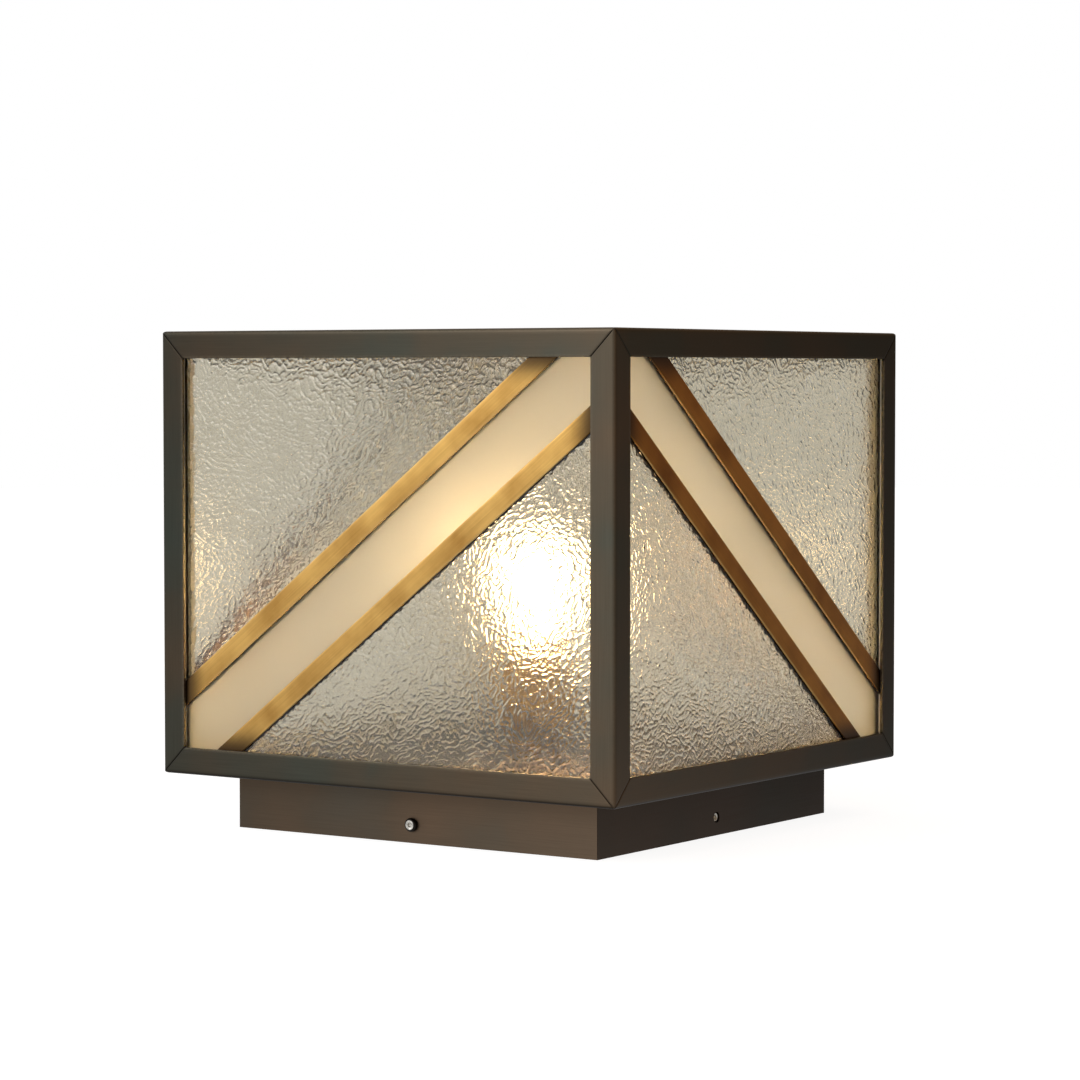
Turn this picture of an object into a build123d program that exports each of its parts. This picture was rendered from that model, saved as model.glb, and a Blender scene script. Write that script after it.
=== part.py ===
from build123d import *

import os
from math import acos, atan2, cos, degrees, hypot, sin, sqrt

# Pillar light: a glazed bronze lantern whose skirt drops over a tray that is bolted to a pillar.
# Millimetres, +Z up. The origin is the centre of the skirt's foot, and the front face looks along -Y.

# Cage of equal angles, mitred three ways at the corners
CAGE_WIDTH = 300.0
CAGE_HEIGHT = 246.0
FLANGE_WIDTH = 15.0        # leg of the angle, seen all round each window
FRAME_THICKNESS = 2.0
BEND_RADIUS = 2.0          # outside of the folded edge
MITRE_GAP = 0.2            # hairline between two mitred ends

# Skirt below the cage
SKIRT_SET_IN = 15.0        # from the bottom flange's inner edge to the skirt's face
SKIRT_DROP = 31.6          # height of skirt seen below the cage
SKIRT_THICKNESS = 2.0

# Roof sheet and floor pan
ROOF_THICKNESS = 1.5
PAN_THICKNESS = 1.5
SHEET_CLEARANCE = 0.5      # round both sheets, inside the cage
LIFT_CLEARANCE = 2.0       # round the lamp bridge, inside the pan's opening

# Glazing
GLASS_THICKNESS = 4.0
GLASS_CLEARANCE = 0.3      # above and below the glass, and where two faces meet
OPAL_WIDTH = 32.0          # opal seen between the cames
OPAL_THICKNESS = 3.0       # seated on the cames' inner flanges
BAND_CORNER_DROP = 3.3     # from a window's corner to where the band's centre line meets the upright
CAME_WIDTH = 11.0
CAME_FLANGE = 1.0
CAME_WEB = 2.0
CAME_CLEARANCE = 0.2       # came to the frame before it, and web to the glass beside it
CAME_EDGE_RADIUS = 0.4
TAPE_SETBACK = 1.0         # glazing tape behind the window's sight line
BEAD_THICKNESS = 3.0

# Clamp screws through the middle of each skirt side
SCREW_HEIGHT = 10.0        # above the skirt's foot
BUTTON_THREAD = 4.0        # button-head screws, front and back
BUTTON_HEAD = 7.6
BUTTON_HEAD_HEIGHT = 2.2
BUTTON_ROUNDING = 1.5
BUTTON_HOLE = 4.5
SET_THREAD = 5.0           # set screws, right and left
SET_HOLE = 6.0
SET_SUNK = 0.8             # outer end behind the skirt's face
SOCKET_WIDTH = 2.5         # hexagon socket, across flats
SOCKET_DEPTH = 1.4
HEAD_GAP = 0.3             # button head to skirt
CLAMP_NUT_WIDTH = 8.0      # across flats
CLAMP_NUT_HEIGHT = 4.0
CLAMP_GAP = 1.0            # clamp nut to tray
TIP_GAP = 0.1              # screw tip to tray
THREAD_PLAY = 0.05         # radial, screw in nut

# Mounting tray on the pillar
TRAY_THICKNESS = 1.5
TRAY_UPSTAND = 20.0
ANCHOR_INSET = 33.0        # from the tray's side to an anchor hole
ANCHOR_HOLE = 6.5
STUD_DIAMETER = 4.0
STUD_HEIGHT = 9.0
STUD_SPACING = 120.0       # along each foot of the bridge
STUD_PLAY = 0.25           # radial, stud in foot
STUD_NUT_WIDTH = 7.0
STUD_NUT_HEIGHT = 3.2
CABLE_BORE = 10.0
GROMMET_WALL = 5.0
GROMMET_LIP = 3.0          # lip beyond the tray's hole
GROMMET_LIP_HEIGHT = 3.0

# Lamp bridge across the tray
BRIDGE_THICKNESS = 1.5
BRIDGE_FOOT = 11.0
FOOT_CLEARANCE = 2.5       # foot to the tray's upstand

# Threaded tube that carries the lampholder
TUBE_DIAMETER = 10.0
TUBE_BORE = 7.0
TUBE_TAIL = 6.0            # tube below the bridge
TUBE_NUT_WIDTH = 14.0
TUBE_NUT_HEIGHT = 3.0
HOLDER_STAND = 16.0        # lampholder above the bridge

# Lampholder
HOLDER_DIAMETER = 41.0
HOLDER_WALL = 1.2
HOLDER_ROUNDING = 8.0
HOLDER_CAP_HEIGHT = 14.0
HOLDER_SLEEVE_HEIGHT = 34.0
RIM_RADIUS = 1.2
INSERT_RISE = 2.0          # ceramic above the cap
INSERT_CLEARANCE = 0.3
SHELL_WALL = 0.7
SHELL_HEIGHT = 27.0

# Bulb
CAP_DIAMETER = 26.4
CAP_WALL = 0.5
CAP_LENGTH = 21.0
CAP_PLAY = 0.3             # radial, cap in the screw shell
CONTACT_GAP = 0.2
CONTACT_DIAMETER = 10.0
CONTACT_HEIGHT = 1.2
INSULATOR_HEIGHT = 4.0
GLOBE_DIAMETER = 60.0
GLOBE_RISE = 45.5          # globe's centre above the screw cap
GLOBE_WALL = 1.0
NECK_LENGTH = 10.0         # neck of the globe inside the screw cap
NECK_PLAY = 0.1

# Terminal block and the leads to the lampholder
BLOCK_WIDTH = 28.0
BLOCK_DEPTH = 16.0
BLOCK_HEIGHT = 14.0
BLOCK_DISTANCE = 45.0      # block's centre behind the lamp's axis
WAY_SPACING = 8.0
WAY_HOLE = 3.5
WAY_SCREW = 3.0
LEAD_DIAMETER = 2.4
LEAD_SPACING = 3.2         # two leads side by side in the tube
LEAD_ENTRY = 6.0           # lead inside the terminal block
LEAD_BEND = 12.0

SIDES = ("front", "right", "back", "left")
CORNERS = ("front_right", "back_right", "back_left", "front_left")

# Sizes that follow from those above
cage_half = CAGE_WIDTH / 2
cage_low = SKIRT_DROP
cage_high = cage_low + CAGE_HEIGHT
skirt_half = cage_half - FLANGE_WIDTH - SKIRT_SET_IN
tray_half = skirt_half - SKIRT_THICKNESS - CLAMP_NUT_HEIGHT - CLAMP_GAP
tray_inner = tray_half - TRAY_THICKNESS
bridge_half = tray_inner - FOOT_CLEARANCE - BRIDGE_FOOT
sheet_half = cage_half - FRAME_THICKNESS - SHEET_CLEARANCE
pan_low = cage_low + FRAME_THICKNESS
floor_top = pan_low + PAN_THICKNESS
roof_high = cage_high - FRAME_THICKNESS
roof_low = roof_high - ROOF_THICKNESS

window_half = cage_half - FLANGE_WIDTH
window_low = cage_low + FLANGE_WIDTH
window_high = cage_high - FLANGE_WIDTH
window_middle = (window_low + window_high) / 2
window_rise = (window_high - window_low) / 2
band_angle = degrees(atan2(window_rise - BAND_CORNER_DROP, window_half))
band_reach = hypot(CAGE_WIDTH, CAGE_HEIGHT)

# Depths of a face's layers, from the lamp's axis outwards to the front face at -cage_half
came_outer = -cage_half + FRAME_THICKNESS + CAME_CLEARANCE
glass_outer = came_outer + CAME_FLANGE
glass_inner = glass_outer + GLASS_THICKNESS
came_inner = glass_inner + CAME_FLANGE
bead_inner = came_inner + BEAD_THICKNESS
panel_half = -came_inner - GLASS_CLEARANCE
panel_low = floor_top + GLASS_CLEARANCE
panel_high = roof_low - GLASS_CLEARANCE
came_centre = OPAL_WIDTH / 2 + CAME_WIDTH / 2
glass_bite = CAME_WEB / 2 + CAME_CLEARANCE

holder_radius = HOLDER_DIAMETER / 2
holder_low = floor_top + HOLDER_STAND
holder_cap_top = holder_low + HOLDER_CAP_HEIGHT
insert_top = holder_cap_top + INSERT_RISE
cap_radius = CAP_DIAMETER / 2
cap_low = insert_top + CONTACT_GAP + CONTACT_HEIGHT + INSULATOR_HEIGHT
cap_high = cap_low + CAP_LENGTH


def block(x_range, y_range, z_range):
    """Box between pairs of limits."""
    sizes = [high - low for low, high in (x_range, y_range, z_range)]
    centre = [(low + high) / 2 for low, high in (x_range, y_range, z_range)]
    return Pos(*centre) * Box(*sizes)


def post(x, y, low, high, diameter):
    """Upright round bar."""
    return Pos(x, y, (low + high) / 2) * Cylinder(diameter / 2, high - low)


def tube(low, high, outer, inner):
    """Upright round tube on the lamp's axis."""
    return post(0, 0, low, high, outer) - post(0, 0, low, high, inner)


def nut(width, height, bore):
    """Hexagon nut that stands on the XY plane."""
    face = RegularPolygon(width / 2, 6, major_radius=False) - Circle(bore / 2)
    return extrude(face, height)


def turned(side):
    """Turn from the front side to another, counted anticlockwise from above."""
    return Rot(Z=90 * side)


def mitred(bar, half_length, leans):
    """Cut both ends of a bar along X with the planes that lean towards the given directions."""
    set_back = MITRE_GAP / sqrt(2)
    for end in (-1, 1):
        corner = (end * (half_length - set_back), 0, 0)
        for lean_y, lean_z in leans:
            bar = split(bar, Plane(corner, z_dir=(end, lean_y, lean_z)), Keep.BOTTOM)
    return bar


def angle_bar(length):
    """Equal angle along X, outer edge on the X axis, legs towards +Y and +Z, ends mitred."""
    leg, wall = FLANGE_WIDTH, FRAME_THICKNESS
    outline = Polyline((0, 0), (leg, 0), (leg, wall), (wall, wall), (wall, leg), (0, leg), close=True)
    section = make_face(outline)
    fold = section.vertices().sort_by_distance((0, 0, 0))[0]
    section = fillet(fold, BEND_RADIUS)
    bar = extrude(Plane.YZ * section, length / 2, both=True)
    return mitred(bar, length / 2, ((1, 0), (0, 1)))


def frame_parts():
    """Posts and rails of the cage."""
    rail = angle_bar(CAGE_WIDTH)
    upright = angle_bar(CAGE_HEIGHT)
    bottom_rail = Pos(0, -cage_half, cage_low) * rail
    top_rail = Pos(0, -cage_half, cage_high) * Rot(X=-90) * rail
    corner_post = Pos(cage_half, -cage_half, (cage_low + cage_high) / 2) * Rot(Y=-90) * upright
    made = {}
    for turn in range(4):
        made[f"post_{CORNERS[turn]}"] = turned(turn) * corner_post
        made[f"top_rail_{SIDES[turn]}"] = turned(turn) * top_rail
        made[f"bottom_rail_{SIDES[turn]}"] = turned(turn) * bottom_rail
    return made


def sheet_parts():
    """Roof sheet below the top rails, and floor pan on the bottom rails."""
    whole = (-sheet_half, sheet_half)
    opening_half = bridge_half + LIFT_CLEARANCE
    opening = (-opening_half, opening_half)
    pan = block(whole, whole, (pan_low, floor_top)) - block(opening, opening, (0, cage_high))
    return {"roof_sheet": block(whole, whole, (roof_low, roof_high)), "floor_pan": pan}


def on_skirt(turn, piece):
    """Stand a piece on the middle of a skirt side, its +Z outwards, at the screws' height."""
    return turned(turn) * Pos(0, -skirt_half, SCREW_HEIGHT) * Rot(X=90) * piece


def skirt_parts():
    """Skirt sides with their screw holes, and the weld nuts behind the holes."""
    plate = block((-skirt_half, skirt_half), (0, SKIRT_THICKNESS), (0, pan_low))
    plate = Pos(0, -skirt_half, 0) * mitred(plate, skirt_half, ((1, 0),))
    made = {}
    nuts = []
    for turn, side in enumerate(SIDES):
        hole, thread = ((BUTTON_HOLE, BUTTON_THREAD), (SET_HOLE, SET_THREAD))[turn % 2]
        drill = Cylinder(hole / 2, 4 * SKIRT_THICKNESS)
        made[f"skirt_{side}"] = turned(turn) * plate - on_skirt(turn, drill)
        clamp_nut = nut(CLAMP_NUT_WIDTH, CLAMP_NUT_HEIGHT, thread + 2 * THREAD_PLAY)
        nuts.append(on_skirt(turn, Pos(0, 0, -SKIRT_THICKNESS - CLAMP_NUT_HEIGHT) * clamp_nut))
    made["clamp_nuts"] = Compound(children=nuts)
    return made


def clamp_screw(thread, outer_end):
    """Threaded length from the tray's upstand to an outer end, measured from the skirt's face."""
    tip = tray_half + TIP_GAP - skirt_half
    return Pos(0, 0, (tip + outer_end) / 2) * Cylinder(thread / 2, outer_end - tip)


def socketed(screw, outer_end):
    """Screw with a hexagon socket in its outer end."""
    hexagon = RegularPolygon(SOCKET_WIDTH / 2, 6, major_radius=False)
    return screw - extrude(Pos(0, 0, outer_end - SOCKET_DEPTH) * hexagon, 2 * SOCKET_DEPTH)


def screw_parts():
    """Button-head screws front and back, set screws right and left."""
    head_top = HEAD_GAP + BUTTON_HEAD_HEIGHT
    head = Pos(0, 0, (HEAD_GAP + head_top) / 2) * Cylinder(BUTTON_HEAD / 2, BUTTON_HEAD_HEIGHT)
    head = fillet(head.edges().group_by(Axis.Z)[-1], BUTTON_ROUNDING)
    button = socketed(head + clamp_screw(BUTTON_THREAD, HEAD_GAP), head_top)
    sunk = socketed(clamp_screw(SET_THREAD, -SET_SUNK), -SET_SUNK)
    return {f"clamp_screw_{side}": on_skirt(turn, (button, sunk)[turn % 2])
            for turn, side in enumerate(SIDES)}


def panel(y_range):
    """Full glazed outline of the front face between two depths."""
    return block((-panel_half, panel_half), y_range, (panel_low, panel_high))


def along_band(rise, piece):
    """Tilt a piece that lies along X to the front face's diagonal; rise is 1 or -1 towards +X."""
    return Pos(0, 0, window_middle) * Rot(Y=-rise * band_angle) * piece


def band_slab(rise, low, high):
    """Slab along the diagonal, between two offsets across it, through every layer of the front face."""
    return along_band(rise, block((-band_reach, band_reach), (-2 * cage_half, 0), (low, high)))


def came(rise, centre):
    """H-section strip along the diagonal, trimmed to the panel's outline."""
    length = (-band_reach, band_reach)
    face = (centre - CAME_WIDTH / 2, centre + CAME_WIDTH / 2)
    strip = block(length, (came_outer, glass_outer), face)
    strip = fillet(strip.edges().filter_by(Axis.X).group_by(Axis.Y)[0], CAME_EDGE_RADIUS)
    strip += block(length, (glass_outer, glass_inner), (centre - CAME_WEB / 2, centre + CAME_WEB / 2))
    strip += block(length, (glass_inner, came_inner), face)
    return along_band(rise, strip) & panel((-cage_half, 0))


def border(width, y_range):
    """Four strips round the inside of the panel's outline."""
    inner_half, inner_low, inner_high = panel_half - width, panel_low + width, panel_high - width
    across, up = (-panel_half, panel_half), (inner_low, inner_high)
    return [block(across, y_range, (panel_low, inner_low)),
            block(across, y_range, (inner_high, panel_high)),
            block((-panel_half, -inner_half), y_range, up),
            block((inner_half, panel_half), y_range, up)]


def tape_strips(rise):
    """Tape before and behind the glass, parted where the cames pass."""
    width = panel_half - window_half - TAPE_SETBACK
    strips = border(width, (-cage_half + FRAME_THICKNESS, glass_outer))
    strips += border(width, (glass_inner, came_inner))
    for centre in (-came_centre, came_centre):
        gap = CAME_WIDTH / 2 + CAME_CLEARANCE
        cutter = band_slab(rise, centre - gap, centre + gap)
        strips = [piece for strip in strips for piece in (strip - cutter).solids()]
    return strips


def bead_strips():
    """Beads behind the glass, set between the floor pan and the roof sheet, corners mitred in plan."""
    strips = border(panel_half - window_half, (came_inner, bead_inner))
    gap = MITRE_GAP / sqrt(2)
    for end in (-1, 1):
        corner = Plane((-end * gap, 0, 0), z_dir=(end, 1, 0))
        strips = [split(strip, corner, Keep.BOTTOM) for strip in strips]
    return strips


def glazing_parts():
    """Rippled glass, opal bands, cames, tape and beads; the bands zigzag round the lantern."""
    made = {}
    tapes, beads = [], []
    pane = panel((glass_outer, glass_inner))
    opal = panel((glass_inner - OPAL_THICKNESS, glass_inner))
    edge = came_centre + glass_bite
    inner = came_centre - glass_bite
    for turn, side in enumerate(SIDES):
        rise = (1, -1)[turn % 2]
        place = turned(turn)
        made[f"upper_glass_{side}"] = place * (pane & band_slab(rise, edge, band_reach))
        made[f"lower_glass_{side}"] = place * (pane & band_slab(rise, -band_reach, -edge))
        made[f"opal_band_{side}"] = place * (opal & band_slab(rise, -inner, inner))
        made[f"upper_came_{side}"] = place * came(rise, came_centre)
        made[f"lower_came_{side}"] = place * came(rise, -came_centre)
        tapes += [place * strip for strip in tape_strips(rise)]
        beads += [place * strip for strip in bead_strips()]
    made["glazing_tape"] = Compound(children=tapes)
    made["glazing_beads"] = Compound(children=beads)
    return made


def stud_places():
    """Places of the welded studs, two on each foot of the bridge."""
    x = bridge_half + BRIDGE_FOOT / 2
    return [(side * x, end * STUD_SPACING / 2) for side in (-1, 1) for end in (-1, 1)]


def tray_parts():
    """Mounting tray, its nuts and the cable grommet; upstands and studs are welded to the base plate."""
    whole = (-tray_half, tray_half)
    base = block(whole, whole, (0, TRAY_THICKNESS))
    anchor = tray_half - ANCHOR_INSET
    for x in (-anchor, anchor):
        for y in (-anchor, anchor):
            base -= post(x, y, -TRAY_THICKNESS, 2 * TRAY_THICKNESS, ANCHOR_HOLE)
    entry = CABLE_BORE + 2 * GROMMET_WALL
    base -= post(0, 0, -TRAY_THICKNESS, 2 * TRAY_THICKNESS, entry)
    strip = block(whole, (0, TRAY_THICKNESS), (TRAY_THICKNESS, TRAY_UPSTAND))
    strip = Pos(0, -tray_half, 0) * mitred(strip, tray_half, ((1, 0),))
    welded = [base] + [turned(turn) * strip for turn in range(4)]
    stud_nut = nut(STUD_NUT_WIDTH, STUD_NUT_HEIGHT, STUD_DIAMETER + 2 * THREAD_PLAY)
    nuts = []
    for x, y in stud_places():
        welded.append(post(x, y, TRAY_THICKNESS, TRAY_THICKNESS + STUD_HEIGHT, STUD_DIAMETER))
        nuts.append(Pos(x, y, TRAY_THICKNESS + BRIDGE_THICKNESS) * stud_nut)
    grommet = tube(0, TRAY_THICKNESS, entry, CABLE_BORE)
    lip_top = TRAY_THICKNESS + GROMMET_LIP_HEIGHT
    grommet += tube(TRAY_THICKNESS, lip_top, entry + 2 * GROMMET_LIP, CABLE_BORE)
    return {"mounting_tray": Compound(children=welded), "tray_nuts": Compound(children=nuts),
            "cable_grommet": grommet}


def bridge_parts():
    """Bridge over the tray, welded from strips, and the tube and lock nuts that carry the lampholder."""
    wide = (-bridge_half, bridge_half)
    plate_low = floor_top - BRIDGE_THICKNESS
    foot_top = TRAY_THICKNESS + BRIDGE_THICKNESS
    wall_inner = bridge_half - BRIDGE_THICKNESS
    tube_hole = TUBE_DIAMETER + 2 * THREAD_PLAY
    welded = [block(wide, wide, (plate_low, floor_top)) - post(0, 0, 0, cage_high, tube_hole)]
    for side in (-1, 1):
        wall = sorted((side * wall_inner, side * bridge_half))
        foot = block(sorted((side * wall_inner, side * (bridge_half + BRIDGE_FOOT))), wide,
                     (TRAY_THICKNESS, foot_top))
        for x, y in stud_places():
            foot -= post(x, y, 0, 2 * foot_top, STUD_DIAMETER + 2 * STUD_PLAY)
        welded += [block(wall, wide, (foot_top, plate_low)), foot]
    lamp_tube = tube(plate_low - TUBE_TAIL, holder_low + HOLDER_WALL, TUBE_DIAMETER, TUBE_BORE)
    lock_nut = nut(TUBE_NUT_WIDTH, TUBE_NUT_HEIGHT, tube_hole)
    levels = (plate_low - TUBE_NUT_HEIGHT, floor_top, holder_low - TUBE_NUT_HEIGHT)
    lock_nuts = Compound(children=[Pos(0, 0, level) * lock_nut for level in levels])
    return {"lamp_bridge": Compound(children=welded), "lamp_tube": lamp_tube, "lock_nuts": lock_nuts}


def round_cup(radius, low, high, rounding):
    """Upright cylinder with a rounded foot."""
    body = post(0, 0, low, high, 2 * radius)
    return fillet(body.edges().group_by(Axis.Z)[0], rounding)


def lampholder_parts():
    """Brass cap and sleeve, ceramic insert and the screw shell that grips the bulb."""
    cap = round_cup(holder_radius, holder_low, holder_cap_top, HOLDER_ROUNDING)
    hollow_low = holder_low + HOLDER_WALL
    hollow_rounding = HOLDER_ROUNDING - HOLDER_WALL
    cap -= round_cup(holder_radius - HOLDER_WALL, hollow_low, 2 * holder_cap_top, hollow_rounding)
    cap -= post(0, 0, 0, hollow_low + HOLDER_WALL, TUBE_DIAMETER + 2 * THREAD_PLAY)
    sleeve_high = holder_cap_top + HOLDER_SLEEVE_HEIGHT
    bore = HOLDER_DIAMETER - 2 * HOLDER_WALL
    sleeve = tube(holder_cap_top, sleeve_high, HOLDER_DIAMETER, bore)
    sleeve += Pos(0, 0, sleeve_high) * Torus(holder_radius - HOLDER_WALL / 2, RIM_RADIUS)
    disc_low = holder_low + HOLDER_ROUNDING
    boss = HOLDER_DIAMETER - 2 * HOLDER_ROUNDING - 2 * INSERT_CLEARANCE
    insert = tube(hollow_low + INSERT_CLEARANCE, disc_low, boss, TUBE_BORE)
    insert += tube(disc_low, insert_top, bore - 2 * INSERT_CLEARANCE, TUBE_BORE)
    shell_bore = CAP_DIAMETER + 2 * CAP_PLAY
    shell = tube(insert_top, insert_top + SHELL_HEIGHT, shell_bore + 2 * SHELL_WALL, shell_bore)
    return {"lampholder_cap": cap, "lampholder_sleeve": sleeve,
            "lampholder_insert": insert, "screw_shell": shell}


def globe_solid(radius, neck, foot):
    """Solid of revolution: a ball drawn down to a neck by its tangent cone, and the neck down to its foot."""
    centre = cap_high + GLOBE_RISE
    slope = atan2(-GLOBE_RISE, neck) + acos(radius / hypot(neck, GLOBE_RISE))
    half_way = (slope + acos(0)) / 2
    turns = (acos(0), half_way, slope)
    crown, flank, meet = [(radius * cos(turn), centre + radius * sin(turn)) for turn in turns]
    outline = ThreePointArc((0, crown[1]), flank, meet)
    outline += Polyline(meet, (neck, cap_high), (neck, foot), (0, foot), (0, crown[1]))
    return revolve(Plane.XZ * make_face(outline), Axis.Z)


def bulb_parts():
    """Hollow globe, screw cap, and the insulator with its contact."""
    neck = cap_radius - CAP_WALL - NECK_PLAY
    foot = cap_high - NECK_LENGTH
    globe = globe_solid(GLOBE_DIAMETER / 2, neck, foot)
    globe -= globe_solid(GLOBE_DIAMETER / 2 - GLOBE_WALL, neck - GLOBE_WALL, foot - GLOBE_WALL)
    cap = tube(cap_low, cap_high, CAP_DIAMETER, CAP_DIAMETER - 2 * CAP_WALL)
    contact_low = insert_top + CONTACT_GAP
    contact = post(0, 0, contact_low, contact_low + CONTACT_HEIGHT, CONTACT_DIAMETER)
    insulator = Cone(CONTACT_DIAMETER / 2, cap_radius, INSULATOR_HEIGHT)
    contact += Pos(0, 0, cap_low - INSULATOR_HEIGHT / 2) * insulator
    return {"bulb_globe": globe, "bulb_cap": cap, "bulb_contact": contact}


def wiring_parts():
    """Terminal block on the tray, and the two leads that rise through the threaded tube."""
    low, high = TRAY_THICKNESS, TRAY_THICKNESS + BLOCK_HEIGHT
    front_face = BLOCK_DISTANCE - BLOCK_DEPTH / 2
    body = block((-BLOCK_WIDTH / 2, BLOCK_WIDTH / 2), (front_face, front_face + BLOCK_DEPTH), (low, high))
    way_height = (low + high) / 2
    for x in (-WAY_SPACING, 0, WAY_SPACING):
        body -= Pos(x, BLOCK_DISTANCE, way_height) * Rot(X=90) * Cylinder(WAY_HOLE / 2, 2 * BLOCK_DEPTH)
        body -= post(x, BLOCK_DISTANCE, way_height, high + BLOCK_HEIGHT, WAY_SCREW)
    leads = []
    for side in (-1, 1):
        start = (side * WAY_SPACING, front_face + LEAD_ENTRY, way_height)
        bend = (side * WAY_SPACING, front_face / 2, way_height)
        below = (side * LEAD_SPACING / 2, 0, way_height + BLOCK_HEIGHT / 2)
        top = (side * LEAD_SPACING / 2, 0, holder_low + HOLDER_ROUNDING)
        route = FilletPolyline(start, bend, below, top, radius=LEAD_BEND)
        section = Plane(route @ 0, z_dir=route % 0) * Circle(LEAD_DIAMETER / 2)
        leads.append(sweep(section, route))
    return {"terminal_block": body, "lamp_leads": Compound(children=leads)}


os.makedirs("parts", exist_ok=True)
for make in (frame_parts, sheet_parts, skirt_parts, screw_parts, glazing_parts, tray_parts, bridge_parts,
             lampholder_parts, bulb_parts, wiring_parts):
    for name, shape in make().items():
        export_step(shape, f"parts/{name}.step")
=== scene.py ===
"""Pillar light: a bronze lantern with rippled glass and a diagonal opal band on each face.

Lengths in the classes are millimetres, as in a workshop drawing; a Surface turns them into metres.
"""

import logging
from dataclasses import dataclass, replace
from enum import Enum
from math import atan2, cos, pi, radians, sin, sqrt

import bpy
import numpy as np
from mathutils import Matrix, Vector

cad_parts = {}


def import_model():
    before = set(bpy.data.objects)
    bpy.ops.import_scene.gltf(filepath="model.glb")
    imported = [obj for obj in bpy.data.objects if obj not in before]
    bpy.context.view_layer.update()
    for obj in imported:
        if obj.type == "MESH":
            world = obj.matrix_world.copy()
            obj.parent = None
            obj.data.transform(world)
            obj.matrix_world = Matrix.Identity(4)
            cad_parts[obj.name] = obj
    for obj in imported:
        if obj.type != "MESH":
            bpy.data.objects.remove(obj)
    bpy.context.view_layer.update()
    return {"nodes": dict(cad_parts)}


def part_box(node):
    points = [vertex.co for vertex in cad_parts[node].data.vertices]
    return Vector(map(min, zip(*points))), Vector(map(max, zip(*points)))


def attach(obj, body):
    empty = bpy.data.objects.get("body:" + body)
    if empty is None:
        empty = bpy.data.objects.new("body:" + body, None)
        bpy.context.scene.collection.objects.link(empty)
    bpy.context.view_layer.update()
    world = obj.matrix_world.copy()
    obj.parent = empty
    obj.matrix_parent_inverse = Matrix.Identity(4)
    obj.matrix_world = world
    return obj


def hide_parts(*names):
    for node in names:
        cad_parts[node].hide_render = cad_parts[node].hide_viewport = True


Array = np.ndarray
Row = tuple[float | Array, float | Array]
Point = tuple[float, float]
Place = tuple[float, float, float]
Nodes = dict[str, bpy.types.Object]
Tree = bpy.types.NodeTree
Node = bpy.types.Node
Socket = bpy.types.NodeSocket
LOG = logging.getLogger("pillar_light")
MM = 0.001
GRAIN = "grain"
CREASE = 40.0
AXIS = 0.02  # Radius of the small flat that closes a turned piece's end.
WHITE = "#FFFFFF"


class Side(Enum):
    """A face of the lantern, counted in quarter turns from the front, anticlockwise from above."""

    FRONT = 0
    RIGHT = 1
    BACK = 2
    LEFT = 3

    @property
    def word(self) -> str:
        """The side's word in the nodes' names."""
        return self.name.lower()

    @property
    def corner(self) -> str:
        """The word of the post at this side's right end, seen from outside."""
        return ("front_right", "back_right", "back_left", "front_left")[self.value]

    @property
    def along_x(self) -> bool:
        """Whether the side runs along X, as the front and the back do."""
        return self.value % 2 == 0

    @property
    def rise(self) -> int:
        """1 where the opal band climbs to the right, seen from outside, and -1 where it falls."""
        return 1 if self.along_x else -1

    def turn(self, points: Array) -> Array:
        """Points of the front face, turned to this side."""
        quarter = np.array([[0.0, 1.0, 0.0], [-1.0, 0.0, 0.0], [0.0, 0.0, 1.0]])
        return points @ np.linalg.matrix_power(quarter, self.value)


class Level(Enum):
    """Which of a face's two mirrored pieces: above the opal band or below it."""

    UPPER = 1
    LOWER = -1


class Grain(Enum):
    """Scales per metre of brush lines that run along a piece's own grain attribute or along an axis."""

    PIECE = (25.0, 1500.0, 0.0)
    ALONG_X = (25.0, 1500.0, 1500.0)
    ALONG_Y = (1500.0, 25.0, 1500.0)


@dataclass
class Surface:
    """A closed mesh that is still arrays.

    Attributes:
        points: Vertices in millimetres, one per row.
        faces: Index arrays, each of faces with one number of corners.
        grain: Per vertex, metres along the piece, metres across it, and a value from -1 for dirt and
            painted
        shade to 1 for bare metal and painted highlight.
    """

    points: Array
    faces: list[Array]
    grain: Array | None = None

    def volume(self) -> float:
        """Signed volume: a third of the sum of each face's area vector dotted with one of its corners."""
        total = 0.0
        for face in self.faces:
            corners = self.points[face]
            areas = np.cross(corners, np.roll(corners, -1, axis=1)).sum(axis=1) / 2
            total += (areas * corners[:, 0]).sum() / 3
        return float(total)

    def piece(self, name: str, crease: float = CREASE) -> bpy.types.Object:
        """Put the arrays into a mesh object with outward faces.

        Args:
            name: The object's name.
            crease: Angle in degrees above which an edge shows as sharp.

        Returns:
            The new object, at the origin, linked to the scene.
        """
        inside_out = self.volume() < 0
        faces = [face[:, ::-1] if inside_out else face for face in self.faces]
        totals = np.concatenate([np.full(len(face), face.shape[1]) for face in faces])
        corners = np.concatenate([face.ravel() for face in faces])
        mesh = bpy.data.meshes.new(name)
        mesh.vertices.add(len(self.points))
        mesh.vertices.foreach_set("co", (self.points * MM).astype(np.float32).ravel())
        mesh.loops.add(len(corners))
        mesh.loops.foreach_set("vertex_index", corners.astype(np.int32))
        mesh.polygons.add(len(totals))
        mesh.polygons.foreach_set("loop_start", (np.cumsum(totals) - totals).astype(np.int32))
        mesh.polygons.foreach_set("use_smooth", np.ones(len(totals), dtype=bool))
        if self.grain is not None:
            layer = mesh.attributes.new(GRAIN, "FLOAT_VECTOR", "POINT")
            layer.data.foreach_set("vector", self.grain.astype(np.float32).ravel())
        mesh.update(calc_edges=True)
        mesh.validate()
        mesh.set_sharp_from_angle(angle=radians(crease))
        made = bpy.data.objects.new(name, mesh)
        bpy.context.scene.collection.objects.link(made)
        return made


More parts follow.
